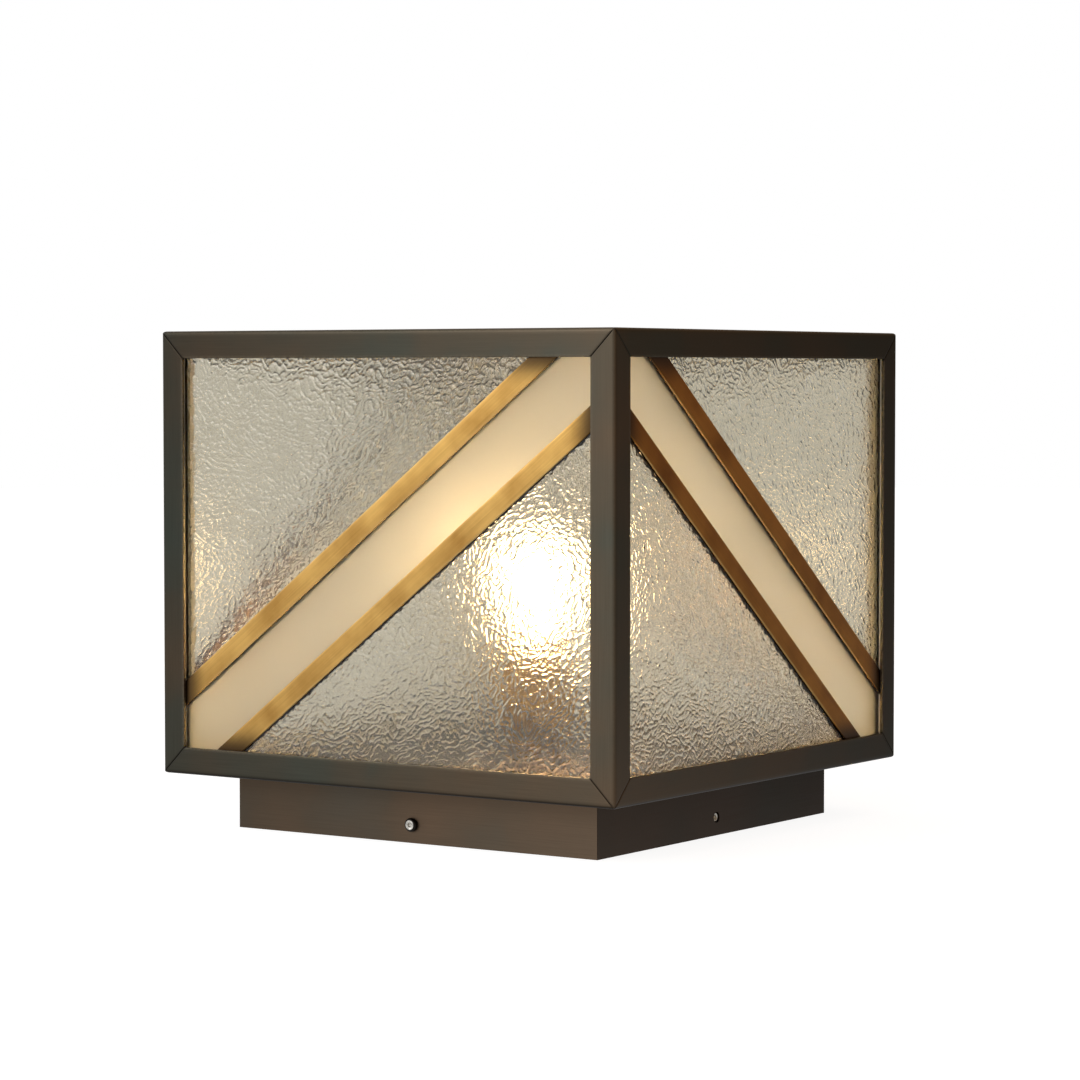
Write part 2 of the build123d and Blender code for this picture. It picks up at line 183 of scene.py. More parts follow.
def moved(surface: Surface, x: float = 0.0, y: float = 0.0, z: float = 0.0) -> Surface:
    """A surface moved by millimetres along the axes."""
    return replace(surface, points=surface.points + (x, y, z))


def joined(surfaces: list[Surface]) -> Surface:
    """Several surfaces as one, each keeping its own closed skin."""
    shifts = np.cumsum([0] + [len(surface.points) for surface in surfaces])
    faces = [face + shift for surface, shift in zip(surfaces, shifts) for face in surface.faces]
    return Surface(np.concatenate([surface.points for surface in surfaces]), faces)


def lofted(rings: Array, joins: bool = False) -> list[Array]:
    """Faces over closed rings laid one after another along a path.

    Corner (r, c) joins (r, c+1), (r+1, c+1) and (r+1, c), columns wrapping round; the two end rings are
    closed by one flat face each, unless the path itself closes.

    Args:
        rings: Points by ring, place in the ring and coordinate.
        joins: Whether the last ring joins the first one.

    Returns:
        The quads, then the end faces if there are any.
    """
    rows, columns = rings.shape[:2]
    number = np.arange(rows * columns).reshape(rows, columns)
    here = number if joins else number[:-1]
    there = np.roll(number, -1, axis=0) if joins else number[1:]
    beside, beyond = np.roll(here, -1, axis=1), np.roll(there, -1, axis=1)
    quads = np.stack([here, beside, beyond, there], axis=-1).reshape(-1, 4)
    return [quads] if joins else [quads, number[:1, ::-1], number[-1:]]


def angles(columns: int) -> Array:
    """Equal steps round a circle."""
    return np.arange(columns) * 2 * pi / columns


def spun(rows: list[Row], columns: int, joins: bool = False) -> Surface:
    """Surface round the Z axis: each row of points goes once round it, in equal steps.

    Args:
        rows: Radius and height of each row, each one number or one per column.
        columns: Steps round the axis.
        joins: Whether the last row joins the first, as on a ring with a bore.

    Returns:
        The closed surface.
    """
    turn = angles(columns)
    radius, height = (np.array([np.broadcast_to(row[at], columns) for row in rows]) for at in (0, 1))
    rings = np.stack([radius * np.cos(turn), radius * np.sin(turn), height], axis=-1)
    return Surface(rings.reshape(-1, 3), lofted(rings, joins))


def unit(vectors: Array) -> Array:
    """Vectors scaled to a length of 1."""
    return vectors / np.linalg.norm(vectors, axis=1, keepdims=True)


def divided(points: Array, longest: float) -> Array:
    """A closed outline with its runs cut into equal steps no longer than a limit."""
    run = np.roll(points, -1, axis=0) - points
    steps = np.maximum(1, np.ceil(np.linalg.norm(run, axis=1) / longest)).astype(int)
    start = np.repeat(np.arange(len(points)), steps)
    step = np.arange(steps.sum()) - np.repeat(np.cumsum(steps) - steps, steps)
    return points[start] + run[start] * (step / steps[start])[:, None]


def rounded(corners: Array, radii: Array, arc_steps: int, longest: float) -> Array:
    """Closed outline whose corners are arcs that touch both their sides.

    An arc's centre lies on its corner's bisector, at radius over the sine of half the corner's angle, and
    its points swing from one touching point to the other in equal steps.

    Args:
        corners: Sharp corners in order, one per row.
        radii: Radius of each corner.
        arc_steps: Steps along each arc.
        longest: Longest step along a straight run.

    Returns:
        The outline's points in order.
    """
    before = unit(np.roll(corners, 1, axis=0) - corners)
    after = unit(np.roll(corners, -1, axis=0) - corners)
    half = np.arccos(np.clip((before * after).sum(axis=1), -1, 1)) / 2
    centre = corners + unit(before + after) * (radii / np.sin(half))[:, None]
    reach = (radii / np.tan(half))[:, None]
    first, last = corners + before * reach - centre, corners + after * reach - centre
    swing = (pi - 2 * half)[:, None, None]
    share = np.linspace(0, 1, arc_steps + 1)[None, :, None]
    arcs = np.sin((1 - share) * swing) * first[:, None] + np.sin(share * swing) * last[:, None]
    arcs = centre[:, None] + arcs / np.sin(swing)
    return divided(arcs.reshape(-1, 2), longest)


def outward(outline: Array) -> Array:
    """Unit normals of a closed anticlockwise outline: the chord between neighbours turned clockwise."""
    chord = np.roll(outline, -1, axis=0) - np.roll(outline, 1, axis=0)
    return unit(np.stack([chord[:, 1], -chord[:, 0]], axis=1))


def girth(outline: Array) -> Array:
    """Distance round a closed outline from its first point to each of its points."""
    step = np.linalg.norm(np.diff(outline, axis=0), axis=1)
    return np.concatenate([[0.0], np.cumsum(step)])


def hexagon(apothem: float, columns: int) -> Array:
    """Radius of a hexagon by column: its apothem over the cosine of the angle to the nearest flat."""
    return apothem / np.cos(angles(columns) % (pi / 3) - pi / 6)


class Thread(Enum):
    """Form of a screw thread: sharp flanks, or the round waves that are rolled into lamp caps."""

    SHARP = "sharp"
    KNUCKLE = "knuckle"

    def dip(self, phase: Array) -> Array:
        """Share of the thread's depth at a phase of 0 to 1 along the pitch, from crest to root."""
        if self is Thread.SHARP:
            return 1 - np.abs(2 * phase - 1)
        return (1 - np.cos(2 * pi * phase)) / 2

    def rows(self, columns: int, radius: float, pitch: float, depth: float, start: float,
             stop: float) -> list[Row]:
        """Rows of a screw thread: the radius dips once per pitch, along a helix.

        Args:
            columns: Steps round the axis.
            radius: Radius of the crest.
            pitch: Distance from crest to crest.
            depth: Depth of the root.
            start: Height of the first row.
            stop: Height of the last row.

        Returns:
            Rows from start to stop, eight to a pitch.
        """
        levels = np.linspace(start, stop, int(abs(stop - start) / pitch * 8) + 2)
        phase = (levels[:, None] / pitch - angles(columns) / (2 * pi)) % 1
        return list(zip(radius - depth * self.dip(phase), levels))


def ring(corners: list[Point], radii: list[float], columns: int = 72) -> Surface:
    """Turned ring with a bore: the outline, its corners rounded, goes once round the Z axis."""
    return spun(list(rounded(np.array(corners), np.array(radii), 5, 4.0)), columns, True)


def nut(width: float, height: float, bore: float, columns: int = 96) -> Surface:
    """Hexagon nut on the XY plane: where the hexagon passes its chamfer's circle, its flats start later.

    Args:
        width: Width across flats.
        height: Height.
        bore: Radius of the hole.
        columns: Steps round the axis.

    Returns:
        The nut, with a countersunk hole.
    """
    flats = hexagon(width / 2, columns)
    circle, slope, sink = 0.96 * width / 2, 0.577, 0.4
    chamfer = np.maximum(flats - circle, 0) * slope
    rows = [(bore, sink), (bore + sink, 0.0), (circle, 0.0), (flats, chamfer), (flats, height - chamfer),
            (circle, height), (bore + sink, height), (bore, height - sink)]
    return spun(rows, columns, True)


def linear(colour: str) -> tuple[float, float, float, float]:
    """sRGB hex colour as linear red, green, blue and an alpha of 1."""
    shares = [int(colour[at:at + 2], 16) / 255 for at in (1, 3, 5)]
    bent = [((share + 0.055) / 1.055) ** 2.4 if share > 0.04045 else share / 12.92 for share in shares]
    return (*bent, 1.0)


def feed(node: Node, sockets: dict) -> None:
    """Set or link a node's inputs; a map's 1 to 4 are its two ranges, a colour mix's 6 and 7 its colours.

    Args:
        node: The node.
        sockets: Input names or numbers, each with a value, a hex colour, an output that feeds it, or a node
            whose first output in use feeds it.
    """
    for name, value in sockets.items():
        if isinstance(value, str):
            value = linear(value)
        if isinstance(value, Node):
            value = next(output for output in value.outputs if output.enabled)
        if isinstance(value, Socket):
            node.id_data.links.new(value, node.inputs[name])
        else:
            node.inputs[name].default_value = value


def add(tree: Tree, kind: str, sockets: dict | None = None, **settings: object) -> Node:
    """Add a node to a tree.

    Args:
        tree: The material's or world's node tree.
        kind: The node's type without its ShaderNode prefix.
        sockets: What goes into its inputs, as feed takes it.
        **settings: Properties of the node.

    Returns:
        The new node.
    """
    node = tree.nodes.new("ShaderNode" + kind)
    for name, value in settings.items():
        setattr(node, name, value)
    feed(node, sockets or {})
    return node


@dataclass(frozen=True)
class Finish:
    """A surface finish, whose kinds add their own nodes round a Principled shader."""

    name: str

    def material(self) -> bpy.types.Material:
        """The finish's material, made when it is first asked for."""
        made = bpy.data.materials.get(self.name)
        if made is None:
            made = bpy.data.materials.new(self.name)
            made.use_nodes = True
            tree = made.node_tree
            place = add(tree, "TexCoord").outputs["Object"]
            feed(tree.nodes["Principled BSDF"], self.sockets(tree, place))
        return made

    def sockets(self, tree: Tree, place: Socket) -> dict:
        """Add the finish's nodes.

        Args:
            tree: The material's node tree.
            place: Its object coordinates.

        Returns:
            What goes into the Principled shader's inputs, as feed takes it.
        """
        raise NotImplementedError


@dataclass(frozen=True)
class PatinatedMetal(Finish):
    """Metal, chemically darkened and rubbed back by hand.

    To the eye it is a soft, dark metal with russet and grey-green clouds, faint brush lines, dirt in its
    mitre seams, and bare metal where it is rubbed. On the folds a paler line is partly a painted highlight,
    and along the bottom rails' folds a dark line is a painted shade. Painted light and shade also make it
    paler and warmer low down and by the front right corner, and darker towards the top and the back left.
    """

    grain: Grain = Grain.PIECE
    ground: str = "#454239"
    russet: str = "#504437"
    verdigris: str = "#41443D"
    # Bare metal on rubbed edges; on the folds and on the blackened screw's crown this tone is also a
    # painted highlight.
    rubbed: str = "#857863"
    # Dirt at the mitres, and a painted shade along the bottom rails' folds.
    grime_and_shade: str = "#1E1814"
    cloud_size: float = 70.0
    speckle_size: float = 1.6
    relief: float = 0.04
    # Painted light and shade: the tone's change per metre along X, Y and Z, paler towards the front right
    # corner and low down.
    painted_light_slope: Place = (2.2, -2.2, -1.3)
    roughness: float = 0.42

    def sockets(self, tree: Tree, place: Socket) -> dict:
        """Clouds, painted light and shade, brush lines along the grain, and rubbed edges; see
        Finish.sockets.
        """
        flow = add(tree, "Attribute", attribute_name=GRAIN).outputs["Vector"]
        along = flow if self.grain is Grain.PIECE else place
        across = add(tree, "VectorMath", {0: along, 1: self.grain.value}, operation="MULTIPLY")
        lines = add(tree, "TexNoise", {"Vector": across, "Scale": 1.0, "Detail": 2.0})
        clouds = add(tree, "TexNoise", {"Vector": place, "Scale": 1000 / self.cloud_size, "Detail": 3.0,
                                        "Roughness": 0.45})
        speckle = add(tree, "TexNoise", {"Vector": place, "Scale": 1000 / self.speckle_size, "Detail": 1.0})
        # Painted light and shade: the tone is paler and warmer low down and towards the front right corner.
        drift = add(tree, "VectorMath", {0: place, 1: self.painted_light_slope}, operation="DOT_PRODUCT")
        clouds_and_painted_light = add(tree, "Math", {0: drift, 1: 0.2, 2: clouds}, operation="MULTIPLY_ADD")
        warm = add(tree, "MapRange", {0: clouds_and_painted_light, 1: 0.45, 2: 0.70})
        cool = add(tree, "MapRange", {0: clouds_and_painted_light, 1: 0.50, 2: 0.30})
        tone = add(tree, "Mix", {0: warm, 6: self.ground, 7: self.russet}, data_type="RGBA")
        tone = add(tree, "Mix", {0: cool, 6: tone, 7: self.verdigris}, data_type="RGBA")
        painted_light = add(tree, "MapRange", {0: drift, 1: -0.32, 2: 0.73, 3: 0.58, 4: 1.58})
        streak = add(tree, "MapRange", {0: lines, 1: 0.25, 2: 0.75, 3: 0.92, 4: 1.08})
        light = add(tree, "Math", {0: painted_light, 1: streak}, operation="MULTIPLY")
        tone = add(tree, "VectorMath", {0: tone, 1: light}, operation="MULTIPLY")
        # Above zero the grain's third value is bare metal, partly a painted highlight; below zero it is
        # dirt at the mitres and a painted shade on folds.
        wear_and_painted_light = add(tree, "SeparateXYZ", {0: flow}).outputs["Z"]
        patchy = add(tree, "MapRange", {0: speckle, 1: 0.3, 2: 0.7, 3: 0.35, 4: 0.95})
        worn_and_highlight = add(tree, "Math", {0: wear_and_painted_light, 1: patchy}, operation="MULTIPLY")
        tone = add(tree, "Mix", {0: worn_and_highlight, 6: tone, 7: self.rubbed}, data_type="RGBA")
        seam = add(tree, "MapRange", {0: wear_and_painted_light, 1: 0.0, 2: -1.0})
        tone = add(tree, "Mix", {0: seam, 6: tone, 7: self.grime_and_shade}, data_type="RGBA")
        dull = add(tree, "MapRange", {0: lines, 1: 0.2, 2: 0.8, 3: self.roughness - 0.06,
                                      4: self.roughness + 0.08})
        marks = add(tree, "Math", {0: lines, 1: speckle}, operation="ADD")
        bump = add(tree, "Bump", {"Height": marks, "Strength": 0.5, "Distance": self.relief * MM})
        return {"Metallic": 1.0, "Base Color": tone, "Roughness": dull, "Normal": bump}


@dataclass(frozen=True)
class AntiqueBrass(Finish):
    """Rolled brass strip, aged and brushed along its length.

    To the eye it is a warm satin gold with brown tarnish in patches, a painted shade at its ends and off
    its face, and bright edges that are rubbed brass and partly a painted highlight.
    """

    gold: str = "#CDA35C"
    tarnish: str = "#8C6129"
    # Painted shade at the ends and off the face.
    smoke: str = "#3A2C20"
    # Rubbed brass on the outer edges, partly a painted highlight.
    rubbed: str = "#E6C583"
    cloud_size: float = 30.0
    relief: float = 0.04
    roughness: float = 0.34

    def sockets(self, tree: Tree, place: Socket) -> dict:
        """Tarnish by clouds, painted shade towards the ends, brush lines along the strip; see
        Finish.sockets.
        """
        flow = add(tree, "Attribute", attribute_name=GRAIN).outputs["Vector"]
        across = add(tree, "VectorMath", {0: flow, 1: Grain.PIECE.value}, operation="MULTIPLY")
        lines = add(tree, "TexNoise", {"Vector": across, "Scale": 1.0, "Detail": 2.0})
        clouds = add(tree, "TexNoise", {"Vector": place, "Scale": 1000 / self.cloud_size, "Detail": 4.0})
        brown = add(tree, "MapRange", {0: clouds, 1: 0.40, 2: 0.75, 3: 0.05, 4: 0.75})
        tone = add(tree, "Mix", {0: brown, 6: self.gold, 7: self.tarnish}, data_type="RGBA")
        streak = add(tree, "MapRange", {0: lines, 1: 0.25, 2: 0.75, 3: 0.86, 4: 1.12})
        tone = add(tree, "VectorMath", {0: tone, 1: streak}, operation="MULTIPLY")
        wear_and_painted_light = add(tree, "SeparateXYZ", {0: flow}).outputs["Z"]
        # Below zero: painted shade at the strip's ends and off its face.
        painted_shade_share = add(tree, "MapRange", {0: wear_and_painted_light, 1: 0.0, 2: -1.0})
        tone = add(tree, "Mix", {0: painted_shade_share, 6: tone, 7: self.smoke}, data_type="RGBA")
        # Above zero: paler edges, rubbed brass and partly a painted highlight.
        bright = add(tree, "MapRange", {0: wear_and_painted_light, 1: 0.0, 2: 1.0, 4: 0.8})
        tone = add(tree, "Mix", {0: bright, 6: tone, 7: self.rubbed}, data_type="RGBA")
        dull = add(tree, "MapRange", {0: lines, 1: 0.2, 2: 0.8, 3: self.roughness - 0.05,
                                      4: self.roughness + 0.09})
        bump = add(tree, "Bump", {"Height": lines, "Strength": 0.5, "Distance": self.relief * MM})
        return {"Metallic": 1.0, "Base Color": tone, "Roughness": dull, "Normal": bump}


@dataclass(frozen=True)
class RippledGlass(Finish):
    """Cathedral glass, rolled with a fine ripple on its outer face.

    To the eye it is grey and sparkling: the ripple breaks what is behind it into bright and dark lines.
    """

    tint: str = "#DFDCD1"
    streak: str = "#D3CFC1"
    streak_size: float = 60.0
    roughness: float = 0.145

    def sockets(self, tree: Tree, place: Socket) -> dict:
        """Clear glass whose tint drifts a little across the sheet; see Finish.sockets."""
        drift = add(tree, "TexNoise", {"Vector": place, "Scale": 1000 / self.streak_size, "Detail": 2.0})
        tone = add(tree, "Mix", {0: drift, 6: self.tint, 7: self.streak}, data_type="RGBA")
        return {"Base Color": tone, "Transmission Weight": 1.0, "IOR": 1.5, "Roughness": self.roughness}


@dataclass(frozen=True)
class OpalGlass(Finish):
    """Flashed opal glass, satin.

    To the eye it is a smooth cream that blurs the bulb's light as it passes, and is brightest beside it.
    """

    cream: str = "#ECE7D8"
    cloud: str = "#E2DCCB"
    glow: str = "#FAEFD8"
    cloud_size: float = 70.0
    passing: float = 0.05
    forward: float = 0.97
    roughness: float = 0.68

    def sockets(self, tree: Tree, place: Socket) -> dict:
        """Cream body with faint clouds, mixed with light let through from behind; see Finish.sockets."""
        clouds = add(tree, "TexNoise", {"Vector": place, "Scale": 1000 / self.cloud_size, "Detail": 3.0})
        tone = add(tree, "Mix", {0: clouds, 6: self.cream, 7: self.cloud}, data_type="RGBA")
        through = add(tree, "BsdfTranslucent", {"Color": self.glow})
        both = add(tree, "MixShader", {0: self.passing, 1: tree.nodes["Principled BSDF"], 2: through})
        feed(tree.nodes["Material Output"], {"Surface": both})
        return {"Base Color": tone, "Roughness": self.roughness, "Transmission Weight": self.forward}


@dataclass(frozen=True)
class LitGlass(Finish):
    """Frosted bulb glass with the lamp on: a warm white glow, dimmer towards its outline and the neck."""

    warm: str = "#FFDBA2"
    white: str = "#FFF8EC"
    amber: str = "#F4D9A8"
    strength: float = 700.0
    fade: float = 8.0
    neck: float = 90.0
    crown: float = 120.0
    neck_share: float = 0.35
    roughness: float = 0.5

    def sockets(self, tree: Tree, place: Socket) -> dict:
        """Glow that fades from the crown to the neck, by height; see Finish.sockets."""
        height = add(tree, "SeparateXYZ", {0: place}).outputs["Z"]
        share = add(tree, "MapRange", {0: height, 1: self.neck * MM, 2: self.crown * MM, 3: self.neck_share,
                                       4: 1.0})
        tone = add(tree, "Mix", {0: share, 6: self.amber, 7: self.white}, data_type="RGBA")
        rim = add(tree, "LayerWeight", {"Blend": 0.5}).outputs["Facing"]
        facing = add(tree, "MapRange", {0: rim, 1: 1.0, 2: 0.0})
        soft = add(tree, "Math", {0: facing, 1: self.fade}, operation="POWER")
        full = add(tree, "Math", {0: share, 1: self.strength}, operation="MULTIPLY")
        power = add(tree, "Math", {0: full, 1: soft}, operation="MULTIPLY")
        return {"Base Color": tone, "Roughness": self.roughness, "Emission Color": self.warm,
                "Emission Strength": power}


@dataclass(frozen=True)
class Marked(Finish):
    """Two close tones in clouds, with finer marks that change the gloss and stand out a little."""

    tone: str
    stain: str
    mark_size: float
    roughness: float
    cloud_size: float
    cloud_detail: float
    metallic: float
    dulled: float
    strength: float
    relief: float

    def sockets(self, tree: Tree, place: Socket) -> dict:
        """Clouds between the two tones, then the marks' gloss and bump; see Finish.sockets."""
        clouds = add(tree, "TexNoise", {"Vector": place, "Scale": 1000 / self.cloud_size,
                                        "Detail": self.cloud_detail})
        marks = add(tree, "TexNoise", {"Vector": place, "Scale": 1000 / self.mark_size, "Detail": 2.0})
        tone = add(tree, "Mix", {0: clouds, 6: self.tone, 7: self.stain}, data_type="RGBA")
        dull = add(tree, "MapRange", {0: marks, 1: 0.25, 2: 0.75, 3: self.roughness - 0.06,
                                      4: self.roughness + self.dulled})
        bump = add(tree, "Bump", {"Height": marks, "Strength": self.strength, "Distance": self.relief * MM})
        return {"Metallic": self.metallic, "Base Color": tone, "Roughness": dull, "Normal": bump}


@dataclass(frozen=True)
class PlatedMetal(Marked):
    """Plated or polished metal with fine marks of handling: zinc, nickel, steel, aluminium or brass."""

    cloud_detail: float = 4.0
    metallic: float = 1.0
    dulled: float = 0.10
    strength: float = 0.2
    relief: float = 0.02


@dataclass(frozen=True)
class Moulded(Marked):
    """Moulded or pressed plastic, rubber or ceramic: a plain body with a fine pebbled skin."""

    cloud_size: float = 50 / 3
    cloud_detail: float = 3.0
    metallic: float = 0.0
    dulled: float = 0.06
    strength: float = 0.4
    relief: float = 0.03


FRAME_BRONZE = PatinatedMetal("patinated_bronze_rubbed")
SHEET_BRONZE = PatinatedMetal("patinated_bronze_sheet", Grain.ALONG_X, "#463D34", "#4F4137", "#454640")
# Lit and shaded copies of one skirt bronze: the front and back get painted light, the left and right
# painted shade.
SKIRT_X_PAINTED_LIGHT = PatinatedMetal("patinated_bronze_brushed_x_painted_light", Grain.ALONG_X, "#594D40", "#615041", "#564F45")
SKIRT_Y_PAINTED_SHADE = PatinatedMetal("patinated_bronze_brushed_y_painted_shade", Grain.ALONG_Y, "#362F27", "#3C3128", "#34312A")
# Its last tone, near white, is a painted highlight on the button screws' sockets and crowns.
BLACK_STEEL_PAINTED_HIGHLIGHT = PatinatedMetal("steel_blackened_painted_highlight", Grain.PIECE, "#242220", "#2A2623", "#242423",
                             "#F2EEE6")
CAME_BRASS = AntiqueBrass("antique_brass_brushed")
# A shaded copy of the came brass: the left and right cames are painted darker and redder for shade.
CAME_BRASS_PAINTED_SHADE = AntiqueBrass("antique_brass_painted_shade", "#BC8038", "#7C4A16")
RIPPLED = RippledGlass("cathedral_glass_rolled")
OPAL = OpalGlass("opal_glass_flashed")
LIT = LitGlass("bulb_glass_frosted_lit")
HOLDER_BRASS = PlatedMetal("brass_spun_lacquered", "#DCB160", "#BC8B3C", 1.5, 0.3, 12.0)
NICKEL = PlatedMetal("brass_nickel_plated", "#CFC9BC", "#B3AB9B", 1.0, 0.2, 8.0)
STAINLESS = PlatedMetal("stainless_steel_turned", "#E6E3DB", "#CFCBC1", 0.25, 0.3, 2.0)
BEAD_METAL = PlatedMetal("aluminium_anodised_satin", "#BDB7A8", "#ABA596", 1.125, 0.65, 9.0,
                         metallic=0.25)
ZINC = PlatedMetal("steel_zinc_plated", "#B9BCBB", "#979B9A", 1.75, 0.38, 14.0)
TAPE = Moulded("silicone_tape_extruded", "#C4C0B2", "#B4AFA0", 0.6, 0.6)
RUBBER = Moulded("rubber_moulded", "#22221F", "#191917", 0.6, 0.72)
PORCELAIN = Moulded("porcelain_pressed", "#EAE6DC", "#DCD6C8", 0.5, 0.35, relief=0.015)
NYLON = Moulded("nylon_moulded", "#E3E2DC", "#D5D3CB", 0.7, 0.45)
LEAD_SLEEVE = Moulded("silicone_sleeve_extruded", "#8E5A3C", "#7C4C31", 0.4, 0.5)
BLACK_GLASS = Moulded("black_glass_pressed", "#161514", "#100F0E", 0.9, 0.18, relief=0.01)


def span(node: str) -> tuple[float, float]:
    """Lowest and highest level of a CAD node, in millimetres."""
    low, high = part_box(node)
    return low.z / MM, high.z / MM


def dress(target: bpy.types.Object, finish: Finish) -> None:
    """Give an object one finish in place of its own."""
    target.data.materials.clear()
    target.data.materials.append(finish.material())


def fit(surface: Surface, node: str, body: str, finish: Finish, crease: float = CREASE) -> None:
    """Put a surface in a node's place.

    Args:
        surface: The new piece.
        node: The CAD node that it stands for.
        body: The body that it rides on.
        finish: The finish that it gets.
        crease: Angle in degrees above which an edge shows as sharp.
    """
    made = surface.piece(f"{node}.fine", crease)
    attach(made, body)
    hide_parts(node)
    dress(made, finish)
    LOG.info("%s: %d vertices", made.name, len(made.data.vertices))


@dataclass
class Cage:
    """Posts and rails: folded equal angles, mitred three ways at the corners."""

    width: float = 300.0
    height: float = 246.0
    low: float = 31.6
    leg: float = 15.0
    wall: float = 2.0
    fold: float = 2.0
    tip: float = 0.35
    mitre: float = 0.2 / sqrt(2)
    eased: float = 0.3
    fold_width: float = 1.2
    tip_wear: float = 0.5
    tip_width: float = 0.5
    seam_grime_and_shade: float = 0.7
    seam_width: float = 0.5
    end_zone: float = 8.0

    def bar(self, length: float, origin: Place, axes: Array, fold_wear_and_painted_light: float) -> Surface:
        """One angle bar.

        The L-shaped outline is carried along the bar. At each end a point stops short of the corner by the
        larger of its two distances from the outer edge, which makes the three-way mitre, and the last rings
        shrink along their normals, so that the mitre's edges are eased.

        Args:
            length: Length along the outer edge.
            origin: Middle of the outer edge.
            axes: Directions along the bar and along its two legs, one per row.
            fold_wear_and_painted_light: Wear on the fold, partly a painted highlight; below zero, a painted
                shade.

        Returns:
            The bar, bare metal on the legs' edges, with dirt at the mitres.
        """
        leg, wall = self.leg, self.wall
        corners = np.array([(0, 0), (leg, 0), (leg, wall), (wall, wall), (wall, leg), (0, leg)], float)
        radii = np.array([self.fold] + 5 * [self.tip])
        # The outline starts on the angle's inside, where the seam of its grain is out of sight.
        outline = np.roll(rounded(corners, radii, 6, 1.4), -30, axis=0)
        reach = length / 2 - self.mitre - outline.max(axis=1)
        from_end = np.array([0.0, 0.15, 0.45, 1.5, 4.0])
        middle = np.linspace(-1, 1, 41)[:, None] * (reach - self.end_zone)
        along = np.concatenate([from_end[:, None] - reach, middle, reach - from_end[::-1, None]])
        ease = np.zeros(len(along))
        ease[[0, 1, -2, -1]] = self.eased * np.array([1.0, 0.33, 0.33, 1.0])
        section = outline - ease[:, None, None] * outward(outline)
        rings = origin + np.concatenate([along[..., None], section], axis=-1) @ axes
        # The inner corner counts as far from the fold.
        off_fold = np.abs(outline[:, 0] - outline[:, 1]) + 10 * (outline.min(axis=1) > self.fold)
        to_tip = np.abs(leg - outline.max(axis=1))
        # Along the fold: above zero rubbed metal with a painted highlight, below zero a painted shade. At
        # the legs' tips: bare metal.
        edge = fold_wear_and_painted_light * np.exp(-(off_fold / self.fold_width) ** 2)
        edge = edge + self.tip_wear * np.exp(-to_tip / self.tip_width)
        seam = np.exp(-(reach - np.abs(along)) / self.seam_width)
        wear_and_painted_light = edge * (1 - seam) - self.seam_grime_and_shade * seam
        across = np.broadcast_to(girth(outline), along.shape)
        grain = np.stack([along * MM, across * MM, wear_and_painted_light], axis=-1)
        return Surface(rings.reshape(-1, 3), lofted(rings), grain.reshape(-1, 3))

    def build(self) -> None:
        """Make the four posts and eight rails in place of their nodes."""
        half, high, middle = self.width / 2, self.low + self.height, self.low + self.height / 2
        hanging = np.diag([1.0, 1.0, -1.0])
        upright = np.array([(0, 0, 1), (-1, 0, 0), (0, 1, 0)], float)
        bars = {
            # Painted shade along the bottom rail's fold; rubbed metal with a painted highlight along the
            # other folds.
            "bottom_rail": self.bar(self.width, (0, -half, self.low), np.eye(3), fold_wear_and_painted_light=-1.0),
            "top_rail": self.bar(self.width, (0, -half, high), hanging, fold_wear_and_painted_light=0.2),
            "post": self.bar(self.height, (half, -half, middle), upright, fold_wear_and_painted_light=0.1),
        }
        for side in Side:
            for word, bar in bars.items():
                turned = replace(bar, points=side.turn(bar.points))
                place = side.corner if word == "post" else side.word
                fit(turned, f"{word}_{place}", "lantern", FRAME_BRONZE)


@dataclass(frozen=True)
class Ripple:
    """Texture of the rolled glass: fine grooves along the zero lines of two random wave fields."""

    long_wave: float = 5.8
    short_wave: float = 3.4
    long_depth: float = 0.42
    short_depth: float = 0.17
    groove: float = 0.45
    crease: float = 0.04
    spread: float = 0.25
    fan: float = 1.0
    swell: float = 0.02
    swell_wave: float = 14.0
    wander: float = 1.4
    wander_wave: float = 24.0
    waves: int = 60

    def field(self, x: Array, z: Array, wavelength: float, fan: float, seed: int) -> Array:
        """Sum of cosine waves of nearly one length that run nearly upright, scaled to unit spread.

        Args:
            x: Places across the pane in millimetres.
            z: Places up the pane in millimetres.
            wavelength: Middle of the waves' lengths.
            fan: Spread of the waves' directions about the upright, in radians.
            seed: Number that makes one field differ from the next.

        Returns:
            The field at each place.
        """
        dice = np.random.default_rng(seed)
        turn = dice.normal(pi / 2, fan, self.waves)
        pull = 2 * pi / (wavelength * np.exp(dice.normal(0, self.spread, self.waves)))
        phase = dice.uniform(0, 2 * pi, self.waves)
        across, up = pull * np.cos(turn), pull * np.sin(turn)
        return np.cos(np.outer(x, across) + np.outer(z, up) + phase).sum(axis=1) * sqrt(2 / self.waves)

    def depth(self, x: Array, z: Array, seed: int) -> Array:
        """Depth of the ripple below the pane's outer face.

        A groove follows each zero line of a longer and a shorter field: its depth is one less the
        hyperbolic tangent of the field's size, so the glass between the lines is nearly flat. A slow swell
        is added, and another slow field shifts the heights at which these are read.

        Args:
            x: Places across the pane in millimetres.
            z: Places up the pane in millimetres.
            seed: Number that makes one pane differ from the next; each pane uses four fields.

        Returns:
            Depths in millimetres, none below zero.
        """
        shifted = z + self.wander * self.field(x, z, self.wander_wave, pi, 4 * seed)
        depth = self.swell * (1 + np.tanh(self.field(x, shifted, self.swell_wave, pi, 4 * seed + 1)))
        grooves = ((self.long_wave, self.long_depth), (self.short_wave, self.short_depth))
        for number, (wavelength, deepest) in enumerate(grooves, start=2):
            field = self.field(x, shifted, wavelength, self.fan, 4 * seed + number)
            depth += deepest * (1 - np.tanh(np.hypot(field, self.crease) / self.groove))
        return depth


